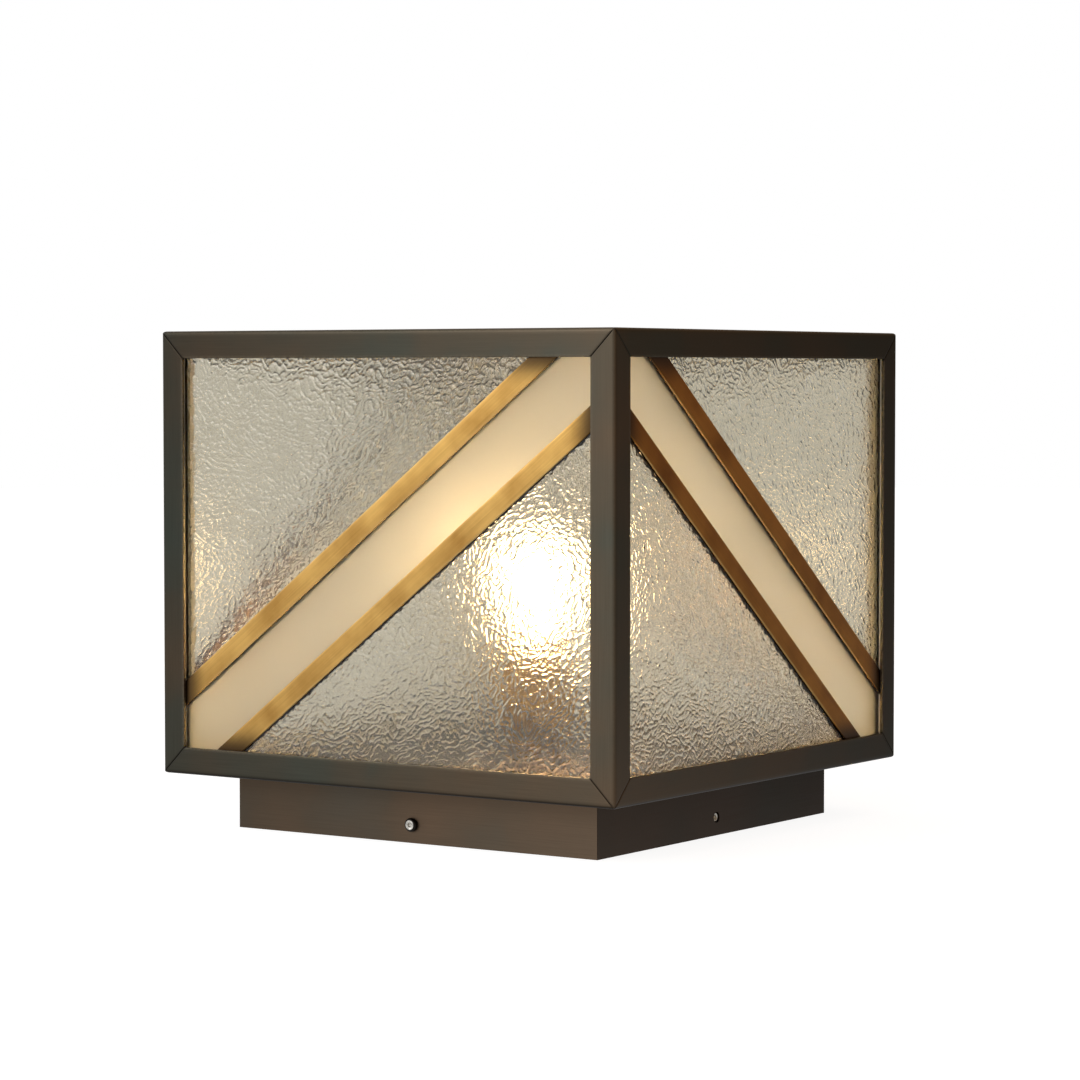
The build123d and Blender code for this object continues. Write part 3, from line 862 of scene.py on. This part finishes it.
@dataclass
class Glazing:
    """Glass and brass of the four faces: rippled triangles, an opal band, and the cames between them."""

    half: float = 141.5
    low: float = 35.4
    high: float = 273.8
    window_half: float = 135.0
    window_up: float = 108.0
    window_rise: float = 104.7
    glass_outer: float = -146.8
    glass_inner: float = -142.8
    glass_edge: float = 22.7
    glass_crease: float = 60.0
    came_offset: float = 21.5
    came_width: float = 11.0
    came_flange: float = 1.0
    came_web: float = 2.0
    came_crown: float = 0.12
    came_edge: float = 0.4
    came_inner_edge: float = 0.12
    came_rings: int = 121
    # Width of the paler outer edges, partly a painted highlight.
    bright_width: float = 0.35
    # Reach and softness of the came's painted shade by the window's edge.
    painted_shade_reach: float = 8.5
    painted_shade_blur: float = 2.8
    lattice: int = 430
    ripple: Ripple = Ripple()

    @property
    def middle(self) -> float:
        """Height of the panel's centre."""
        return (self.low + self.high) / 2

    @property
    def slant(self) -> float:
        """Angle of the band to the horizontal."""
        return atan2(self.window_rise, self.window_half)

    def pane(self, side: Side, level: Level) -> Surface:
        """A rippled triangle.

        Its outer face is a triangular lattice between the panel's corner and the band, each point sunk by
        the ripple's depth; a wall goes round its rim to a flat inner face, which is a fan about its centre.

        Args:
            side: The lantern's face.
            level: Above or below the band.

        Returns:
            The closed pane.
        """
        steps = self.lattice
        up, over = (self.high - self.low) / 2, self.half
        top_end = (up * cos(self.slant) - self.glass_edge) / sin(self.slant)
        left_end = (self.glass_edge - over * sin(self.slant)) / cos(self.slant)
        row, column = np.nonzero(np.add.outer(np.arange(steps + 1), np.arange(steps + 1)) <= steps)
        x = -over + row / steps * (top_end + over)
        z = up - column / steps * (up - left_end)
        x, z = x * side.rise * level.value, z * level.value
        depth = self.ripple.depth(x, z, 10 * side.value + level.value + 1)
        face = np.stack([x, self.glass_outer + depth, self.middle + z], axis=1)
        number = np.full((steps + 1, steps + 1), -1)
        number[row, column] = np.arange(len(row))
        here, right = number[:-1, :-1], number[1:, :-1]
        below, across = number[:-1, 1:], number[1:, 1:]
        pointing = np.stack([here, right, below], axis=-1)[(right >= 0) & (below >= 0)]
        hanging = np.stack([right, across, below], axis=-1)[across >= 0]
        walk = np.arange(steps)
        rim = np.concatenate([number[walk, 0], number[steps - walk, walk], number[0, steps - walk]])
        back = face[rim] * (1, 0, 1) + (0, self.glass_inner, 0)
        inner = len(face) + np.arange(len(rim))
        centre = np.full(len(rim), len(face) + len(rim))
        beyond, inner_beyond = np.roll(rim, -1), np.roll(inner, -1)
        wall = np.stack([beyond, rim, inner, inner_beyond], axis=1)
        fan = np.stack([centre, inner_beyond, inner], axis=1)
        points = np.concatenate([face, back, back.mean(axis=0, keepdims=True)])
        return Surface(side.turn(points), [np.concatenate([pointing, hanging, fan]), wall])

    def came(self, side: Side, level: Level) -> Surface:
        """An H-section strip beside the opal band.

        The outline of distance across the band and depth is carried along the diagonal; each of its points
        runs between the two places where its line meets the panel's outline, and the outer flange is
        slightly crowned.

        Args:
            side: The lantern's face.
            level: Above or below the band.

        Returns:
            The strip, whose grain value is above zero on its outer edges, for rubbed brass and a painted
            highlight, and below zero by the window's edge and off its face, for a painted shade.
        """
        wide, web, flange = self.came_width / 2, self.came_web / 2, self.came_flange
        front, back = self.glass_outer - flange, self.glass_inner + flange
        half_outline = [(-wide, front), (wide, front), (wide, front + flange), (web, front + flange),
                        (web, back - flange), (wide, back - flange), (wide, back)]
        mirrored = [(-across, depth) for across, depth in half_outline[:1:-1]]
        corners = np.array(half_outline + mirrored)
        radii = np.full(len(corners), self.came_inner_edge)
        radii[:2] = self.came_edge
        outline = rounded(corners, radii, 4, 0.9)
        across, depth = outline[:, 0], outline[:, 1]
        outer = depth < front + flange / 2
        depth = depth + outer * self.came_crown * (across / wide) ** 2
        offset = level.value * self.came_offset + across
        run_x, run_z = cos(self.slant), sin(self.slant)
        up = (self.high - self.low) / 2
        first = np.maximum((-self.half + offset * run_z) / run_x, (-up - offset * run_x) / run_z)
        last = np.minimum((self.half + offset * run_z) / run_x, (up - offset * run_x) / run_z)
        along = first + np.linspace(0, 1, self.came_rings)[:, None] * (last - first)
        x = (along * run_x - offset * run_z) * side.rise
        z = self.middle + along * run_z + offset * run_x
        rings = np.stack([x, np.broadcast_to(depth, x.shape), z], axis=-1)
        # Paler outer edges: rubbed brass and partly a painted highlight.
        bright = outer * np.exp(-(wide - np.abs(across)) / self.bright_width)
        inside = np.minimum(self.window_half - np.abs(x), self.window_up - np.abs(z - self.middle))
        # Painted shade, darkest by the window's edge and on every face but the outer one.
        smoke = np.maximum(1 / (1 + np.exp((inside - self.painted_shade_reach) / self.painted_shade_blur)), ~outer)
        wear_and_painted_light = bright * (1 - smoke) - smoke
        grain = np.stack([along * MM, np.broadcast_to(girth(outline) * MM, x.shape), wear_and_painted_light], axis=-1)
        return Surface(side.turn(rings.reshape(-1, 3)), lofted(rings), grain.reshape(-1, 3))

    def build(self, nodes: Nodes) -> None:
        """Make the panes and cames, and dress the opal bands, tape and beads.

        Args:
            nodes: The frame's CAD nodes.
        """
        for side in Side:
            # The left and right cames get the copy with painted shade.
            brass = CAME_BRASS if side.along_x else CAME_BRASS_PAINTED_SHADE
            for level in Level:
                name = f"{level.name.lower()}_{{}}_{side.word}".format
                pane, came = self.pane(side, level), self.came(side, level)
                fit(pane, name("glass"), "lantern", RIPPLED, self.glass_crease)
                fit(came, name("came"), "lantern", brass)
            dress(nodes[f"opal_band_{side.word}"], OPAL)
        dress(nodes["glazing_tape"], TAPE)
        dress(nodes["glazing_beads"], BEAD_METAL)


@dataclass
class SheetMetal:
    """Roof, floor pan, lamp bridge and skirt: plain sheets that keep their solids."""

    sheets: tuple[str, ...] = ("roof_sheet", "floor_pan", "lamp_bridge")

    def build(self, nodes: Nodes) -> None:
        """Dress the sheets, the skirt's brush lines running level on every side.

        Args:
            nodes: The frame's CAD nodes.
        """
        for word in self.sheets:
            dress(nodes[word], SHEET_BRONZE)
        for side in Side:
            # Painted light on the skirt's front and back, painted shade on its left and right.
            dress(nodes[f"skirt_{side.word}"], SKIRT_X_PAINTED_LIGHT if side.along_x else SKIRT_Y_PAINTED_SHADE)
        LOG.info("sheets and skirt dressed")


@dataclass
class ClampScrews:
    """Screws through the skirt and the weld nuts behind it; their own +Z points out of the skirt."""

    skirt_face: float = 120.0
    skirt_wall: float = 2.0
    level: float = 10.0
    tip: float = -6.9
    button_thread: float = 2.0
    button_pitch: float = 0.7
    head: float = 3.8
    head_low: float = 0.3
    head_high: float = 2.5
    head_rounding: float = 1.4
    head_edge: float = 0.15
    set_thread: float = 2.5
    set_pitch: float = 0.8
    sunk: float = 0.8
    socket: float = 1.25
    socket_depth: float = 1.4
    socket_mouth: float = 1.65
    nut_width: float = 8.0
    nut_height: float = 4.0
    play: float = 0.05
    columns: int = 72

    def socket_rows(self, top: float) -> list[Row]:
        """Rows from the socket's drilled floor to its countersunk mouth in a screw's end face."""
        flats = hexagon(self.socket, self.columns)
        floor = top - self.socket_depth
        return [(AXIS, floor - 0.3), (0.97 * flats, floor), (flats, top - 0.2), (self.socket_mouth, top)]

    def button(self) -> Surface:
        """Button-head screw: socket, flat crown, rounded shoulder, rim, thread and tip, in that order.

        Returns:
            The screw, with a value of 1 where the socket and the crown's first edge get a painted
            highlight.
        """
        swing = np.linspace(0, pi / 2, 8)
        shoulder = list(zip(self.head - self.head_rounding * (1 - np.sin(swing)),
                            self.head_high - self.head_rounding * (1 - np.cos(swing))))
        rim = [(self.head, self.head_low + self.head_edge), (self.head - self.head_edge, self.head_low)]
        pitch = self.button_pitch
        thread = Thread.SHARP.rows(self.columns, self.button_thread, pitch, pitch / 2, self.head_low - 0.1,
                                   self.tip + 0.6)
        end = [(1.3, self.tip), (AXIS, self.tip)]
        socket = self.socket_rows(self.head_high)
        screw = spun(socket + shoulder + rim + thread + end, self.columns)
        row = np.arange(len(screw.points)) // self.columns
        # Painted highlight on the socket and the crown's first edge.
        screw.grain = np.stack([0.0 * row, 0.0 * row, 1.0 * (row <= len(socket))], axis=1)
        return screw

    def set_screw(self) -> Surface:
        """Set screw, sunk in its hole: socket, chamfered end face, thread and cup point, in that order."""
        top = -self.sunk
        pitch = self.set_pitch
        thread = Thread.SHARP.rows(self.columns, self.set_thread, pitch, pitch / 2, top - 0.35,
                                   self.tip + 0.8)
        end = [(1.6, self.tip), (1.1, self.tip), (AXIS, self.tip + 0.7)]
        return spun(self.socket_rows(top) + [(2.15, top)] + thread + end, self.columns)

    def on_skirt(self, side: Side, piece: Surface) -> Surface:
        """Stand a piece on the middle of a skirt side, its +Z outwards."""
        tipped = piece.points @ np.array([[1.0, 0.0, 0.0], [0.0, 0.0, 1.0], [0.0, -1.0, 0.0]])
        return replace(piece, points=side.turn(tipped + (0, -self.skirt_face, self.level)))

    def build(self) -> None:
        """Make the four screws, each on its own body, and the four nuts on the lantern."""
        nuts = []
        for side in Side:
            if side.along_x:
                screw, finish, thread = self.button(), BLACK_STEEL_PAINTED_HIGHLIGHT, self.button_thread
            else:
                screw, finish, thread = self.set_screw(), STAINLESS, self.set_thread
            node, body = f"clamp_screw_{side.word}", f"{side.word}_clamp"
            fit(self.on_skirt(side, screw), node, body, finish)
            one = nut(self.nut_width, self.nut_height, thread + self.play)
            nuts.append(self.on_skirt(side, moved(one, z=-self.skirt_wall - self.nut_height)))
        fit(joined(nuts), "clamp_nuts", "lantern", STAINLESS)


@dataclass
class LampFitting:
    """Lampholder on its threaded tube, with the nuts and the cable grommet below."""

    radius: float = 20.5
    wall: float = 1.2
    rounding: float = 8.0
    rim: float = 1.2
    groove: float = 0.35
    groove_width: float = 0.55
    tube: float = 5.0
    tube_bore: float = 3.5
    tube_pitch: float = 1.0
    tube_nut: float = 14.0
    tube_nut_height: float = 3.0
    stud: float = 2.0
    stud_nut: float = 7.0
    shell_bore: float = 13.5
    shell_wall: float = 0.7
    shell_wave: float = 0.6
    cap_pitch: float = 3.62
    cable: float = 5.0
    shank: float = 10.0
    lip: float = 13.0
    tray: float = 1.5
    play: float = 0.05
    columns: int = 96

    def cap(self) -> Surface:
        """Spun cup with a rounded foot and a bead round its mouth."""
        low, high = span("lampholder_cap")
        outer, inner, hole = self.radius, self.radius - self.wall, self.tube + self.play
        floor = low + self.wall
        corners = [(hole, low), (outer, low), (outer, high), (inner, high), (inner, floor), (hole, floor)]
        return ring(corners, [0.3, self.rounding, 0.4, 0.3, self.rounding - self.wall, 0.3])

    def sleeve(self) -> Surface:
        """Tube with three rolled grooves and a rolled rim: the outline goes up outside and down inside."""
        low, high = span("lampholder_sleeve")
        top = high - self.rim
        levels = np.linspace(low + 0.4, top - self.rim, 60)
        from_grooves = (levels[:, None] - np.linspace(low + 9, low + 15, 3)) / self.groove_width
        grooves = np.exp(-from_grooves ** 2).sum(axis=1)
        outside = list(zip(self.radius - self.groove * grooves, levels))
        middle, inner = self.radius - self.wall / 2, self.radius - self.wall
        swing = np.linspace(-0.3 * pi, 1.3 * pi, 18)
        roll = list(zip(middle + self.rim * np.cos(swing), top + self.rim * np.sin(swing)))
        inside = [(inner, top - self.rim), (inner, low), (self.radius - self.groove, low)]
        return spun(outside + roll + inside, self.columns, True)

    def insert(self) -> Surface:
        """Pressed disc on a boss, with the tube's bore through both."""
        low, high = span("lampholder_insert")
        bore, reach = self.tube_bore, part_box("lampholder_insert")[1].x / MM
        boss = self.radius - self.rounding - 0.3
        step = span("lampholder_cap")[0] + self.rounding
        corners = [(bore, low), (boss, low), (boss, step), (reach, step), (reach, high), (bore, high)]
        return ring(corners, [0.3, 0.5, 0.2, 0.6, 0.8, 0.5])

    def shell(self) -> Surface:
        """Screw shell: the knuckle thread goes up outside and down inside at one wall's distance."""
        low, high = span("screw_shell")
        wave, crest = self.shell_wave, self.shell_bore + self.shell_wave
        up = Thread.KNUCKLE.rows(self.columns, crest + self.shell_wall, self.cap_pitch, wave, low, high)
        down = Thread.KNUCKLE.rows(self.columns, crest, self.cap_pitch, wave, high, low)
        return spun(up + down, self.columns, True)

    def threaded_tube(self) -> Surface:
        """Tube with a fine thread outside and a plain bore."""
        low, high = span("lamp_tube")
        outside = Thread.SHARP.rows(self.columns, self.tube, self.tube_pitch, 0.4, low + 0.4, high - 0.4)
        mouth, bore = self.tube - 0.6, self.tube_bore
        inside = [(mouth, high), (bore, high), (bore, low), (mouth, low)]
        return spun(outside + inside, self.columns, True)

    def tube_nuts(self) -> Surface:
        """Lock nuts: one below the bridge, one above it and one below the lampholder."""
        below_holder = span("lampholder_cap")[0] - self.tube_nut_height
        levels = (span("lock_nuts")[0], span("lamp_bridge")[1], below_holder)
        one = nut(self.tube_nut, self.tube_nut_height, self.tube + self.play)
        return joined([moved(one, z=level) for level in levels])

    def stud_nuts(self) -> Surface:
        """Nuts on the tray's four studs, each at a corner of the node's box."""
        low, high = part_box("tray_nuts")
        reach_x, reach_y = high.x / MM - self.stud_nut / sqrt(3), high.y / MM - self.stud_nut / 2
        one = nut(self.stud_nut, (high.z - low.z) / MM, self.stud + self.play)
        places = [(x, y) for x in (-reach_x, reach_x) for y in (-reach_y, reach_y)]
        return joined([moved(one, x, y, low.z / MM) for x, y in places])

    def grommet(self) -> Surface:
        """Rubber grommet with a rounded lip on the tray and a plain shank in its hole."""
        cable, shank, lip, tray = self.cable, self.shank, self.lip, self.tray
        high = span("cable_grommet")[1]
        corners = [(cable, 0.0), (shank, 0.0), (shank, tray), (lip, tray), (lip, high), (cable, high)]
        return ring(corners, [0.4, 0.2, 0.1, 0.6, 1.4, 1.0])

    def build(self, nodes: Nodes) -> None:
        """Make the turned pieces, and dress the tray, the terminal block and the leads.

        Args:
            nodes: The frame's CAD nodes.
        """
        fit(self.cap(), "lampholder_cap", "base", HOLDER_BRASS)
        fit(self.sleeve(), "lampholder_sleeve", "base", HOLDER_BRASS)
        fit(self.insert(), "lampholder_insert", "base", PORCELAIN)
        fit(self.shell(), "screw_shell", "base", NICKEL)
        fit(self.threaded_tube(), "lamp_tube", "base", HOLDER_BRASS)
        fit(self.tube_nuts(), "lock_nuts", "base", HOLDER_BRASS)
        fit(self.stud_nuts(), "tray_nuts", "base", STAINLESS)
        fit(self.grommet(), "cable_grommet", "base", RUBBER)
        dress(nodes["mounting_tray"], ZINC)
        dress(nodes["terminal_block"], NYLON)
        dress(nodes["lamp_leads"], LEAD_SLEEVE)
        LOG.info("tray and wiring dressed")


@dataclass
class Bulb:
    """Globe bulb with a screw cap."""

    globe_radius: float = 30.0
    ball_end: float = -48.0
    neck_radius: float = 12.6
    neck_depth: float = 4.0
    cap_radius: float = 13.2
    cap_pitch: float = 3.62
    cap_wave: float = 0.6
    contact_radius: float = 5.0
    columns: int = 96

    def globe(self) -> Surface:
        """Ball drawn down to the neck: the ball's arc, then a cubic that leaves it and meets the neck."""
        seat, crown = span("bulb_cap")[1], span("bulb_globe")[1]
        centre = crown - self.globe_radius
        swing = np.linspace(pi / 2 - 0.002, radians(self.ball_end), 44)
        ball = (0, centre) + self.globe_radius * np.stack([np.cos(swing), np.sin(swing)], axis=1)
        start, stop = ball[-1], np.array([self.neck_radius, seat + 1.0])
        reach = np.linalg.norm(stop - start)
        leave = np.array([np.sin(swing[-1]), -np.cos(swing[-1])]) * reach
        meet = np.array([0.0, -1.0]) * reach
        share = np.linspace(0, 1, 16)[1:, None]
        flare = ((1 + 2 * share) * (1 - share) ** 2 * start + share * (1 - share) ** 2 * leave
                 + share ** 2 * (3 - 2 * share) * stop + share ** 2 * (share - 1) * meet)
        foot = seat - self.neck_depth
        return spun([*ball, *flare, (self.neck_radius, foot), (AXIS, foot)], self.columns)

    def cap(self) -> Surface:
        """Cap with a rolled thread between a tapered foot and a plain collar."""
        low, high = span("bulb_cap")
        wide = self.cap_radius
        foot = [(AXIS, low), (wide - 1.2, low), (wide - 0.7, low + 0.8)]
        thread = Thread.KNUCKLE.rows(self.columns, wide, self.cap_pitch, self.cap_wave, low + 1.5,
                                     high - 5.0)
        collar = [(wide - 0.1, high - 4.4), (wide, high - 4.0), (wide, high - 0.4), (wide - 0.3, high),
                  (AXIS, high)]
        return spun(foot + thread + collar, self.columns)

    def contact(self) -> Surface:
        """Black glass cone from the cap down to a flat contact."""
        low, high = span("bulb_contact")
        tip, wide = self.contact_radius, self.cap_radius
        rows = [(AXIS, low), (tip - 0.4, low), (tip, low + 0.4), (tip, low + 1.2), (tip + 0.6, low + 1.5),
                (wide - 1.6, high - 0.5), (wide - 1.3, high), (AXIS, high)]
        return spun(rows, self.columns)

    def build(self) -> None:
        """Make the globe, the cap and the contact."""
        fit(self.globe(), "bulb_globe", "bulb", LIT)
        fit(self.cap(), "bulb_cap", "bulb", NICKEL)
        fit(self.contact(), "bulb_contact", "bulb", BLACK_GLASS)


@dataclass(frozen=True)
class Studio:
    """Camera of the photograph, white sweep and soft lamps."""

    azimuth: float = 34.162
    pitch: float = -2.686
    lens: float = 115.91
    eye: Place = (1110.22, -1632.52, 252.40)
    bright_side: Place = (-0.60, -0.76, 0.26)
    dim: float = 0.28
    warm: str = "#FFC582"
    floor_radius: float = 6000.0
    floor_wall: float = 5.0
    floor_tone: str = "#DADADA"
    floor_glow: float = 0.9
    shadow_tone: str = "#8C8C8C"

    def sweep(self, tree: Tree, coordinates: str, brightest: float) -> tuple[Node, Node]:
        """Empty a tree and add what the world and the floor share.

        Args:
            tree: The node tree.
            coordinates: The texture coordinates that tell the bright side from the dim one.
            brightest: Strength on the bright side.

        Returns:
            Whether a ray is the camera's own or has come through glass, and the strength by direction.
        """
        tree.nodes.clear()
        rays = add(tree, "LightPath").outputs
        direct, through = rays["Is Camera Ray"], rays["Is Transmission Ray"]
        seen = add(tree, "Math", {0: direct, 1: through}, operation="MAXIMUM")
        way = add(tree, "TexCoord").outputs[coordinates]
        facing = add(tree, "VectorMath", {0: way, 1: self.bright_side}, operation="DOT_PRODUCT")
        shade = add(tree, "MapRange", {0: facing, 1: -0.6, 2: 0.75, 3: self.dim, 4: brightest})
        return seen, shade

    def world(self) -> None:
        """White to the camera and through glass; else bright at the front left, dim at the back right."""
        world = bpy.data.worlds.new("studio_sweep")
        world.use_nodes = True
        bpy.context.scene.world = world
        tree = world.node_tree
        seen, shade = self.sweep(tree, "Generated", 1.0)
        tone = add(tree, "Mix", {0: shade, 6: self.warm, 7: WHITE}, data_type="RGBA")
        graded = add(tree, "Background", {"Color": tone, "Strength": shade})
        white = add(tree, "Background", {"Color": WHITE, "Strength": 1.0})
        both = add(tree, "MixShader", {0: seen, 1: graded, 2: white})
        out = add(tree, "OutputWorld", {"Surface": both})
        out.is_active_output = True

    def floor(self) -> None:
        """Round white floor that keeps the shadow: to the camera most of its white is its own."""
        rows = [(self.floor_radius, 0.0), (self.floor_radius, -self.floor_wall)]
        made = spun(rows, 96).piece("studio_floor")
        paper = bpy.data.materials.new("studio_paper")
        paper.use_nodes = True
        tree = paper.node_tree
        seen, shade = self.sweep(tree, "Object", self.floor_glow)
        glossy = add(tree, "LightPath").outputs["Is Glossy Ray"]
        own = add(tree, "Emission", {"Color": WHITE, "Strength": self.floor_glow})
        catch = add(tree, "BsdfDiffuse", {"Color": self.shadow_tone})
        shown = add(tree, "AddShader", {0: own, 1: catch})
        mirrored = add(tree, "Emission", {"Color": WHITE, "Strength": shade})
        bounce = add(tree, "BsdfDiffuse", {"Color": self.floor_tone})
        lit = add(tree, "MixShader", {0: glossy, 1: bounce, 2: mirrored})
        both = add(tree, "MixShader", {0: seen, 1: lit, 2: shown})
        add(tree, "OutputMaterial", {"Surface": both})
        made.data.materials.append(paper)

    def lamp(self, name: str, place: Place, size: float, power: float, colour: str) -> None:
        """A square soft box that looks at the lantern.

        Args:
            name: The lamp's name.
            place: Its centre in metres.
            size: Its side in metres.
            power: Its power in watts.
            colour: Its light's colour.
        """
        light = bpy.data.lights.new(name, "AREA")
        light.size = size
        light.energy = power
        light.color = linear(colour)[:3]
        box = bpy.data.objects.new(name, light)
        box.location = place
        box.rotation_euler = (Vector((0, 0, 0.15)) - Vector(place)).to_track_quat("-Z", "Y").to_euler()
        box.visible_camera = False
        box.visible_transmission = False
        bpy.context.scene.collection.objects.link(box)

    def camera(self) -> None:
        """Camera at the photograph's place, solved from the lantern's edges."""
        view = bpy.data.cameras.new("photograph")
        view.lens = self.lens
        view.sensor_width = 36.0
        view.clip_end = 50.0
        eye = bpy.data.objects.new("photograph", view)
        eye.location = [along * MM for along in self.eye]
        eye.rotation_euler = (radians(90 + self.pitch), 0.0, radians(self.azimuth))
        bpy.context.scene.collection.objects.link(eye)
        bpy.context.scene.camera = eye

    def build(self) -> None:
        """Set the view, the world, the floor, the lamps and the camera."""
        bpy.context.scene.view_settings.view_transform = "Standard"
        self.world()
        self.floor()
        self.lamp("key_front_left", place=(-0.7, -1.5, 1.0), size=1.2, power=12.0, colour=WHITE)
        self.lamp("fill_right", place=(1.9, -0.6, 1.2), size=1.4, power=4.0, colour=self.warm)
        self.camera()
        LOG.info("studio set")


def main() -> None:
    """Build the lantern's sub-assemblies in order, then the studio."""
    logging.basicConfig(level=logging.INFO, format="%(message)s")
    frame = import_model()
    nodes = frame["nodes"]
    Cage().build()
    Glazing().build(nodes)
    SheetMetal().build(nodes)
    ClampScrews().build()
    LampFitting().build(nodes)
    Bulb().build()
    Studio().build()


if __name__ == "__main__":
    main()
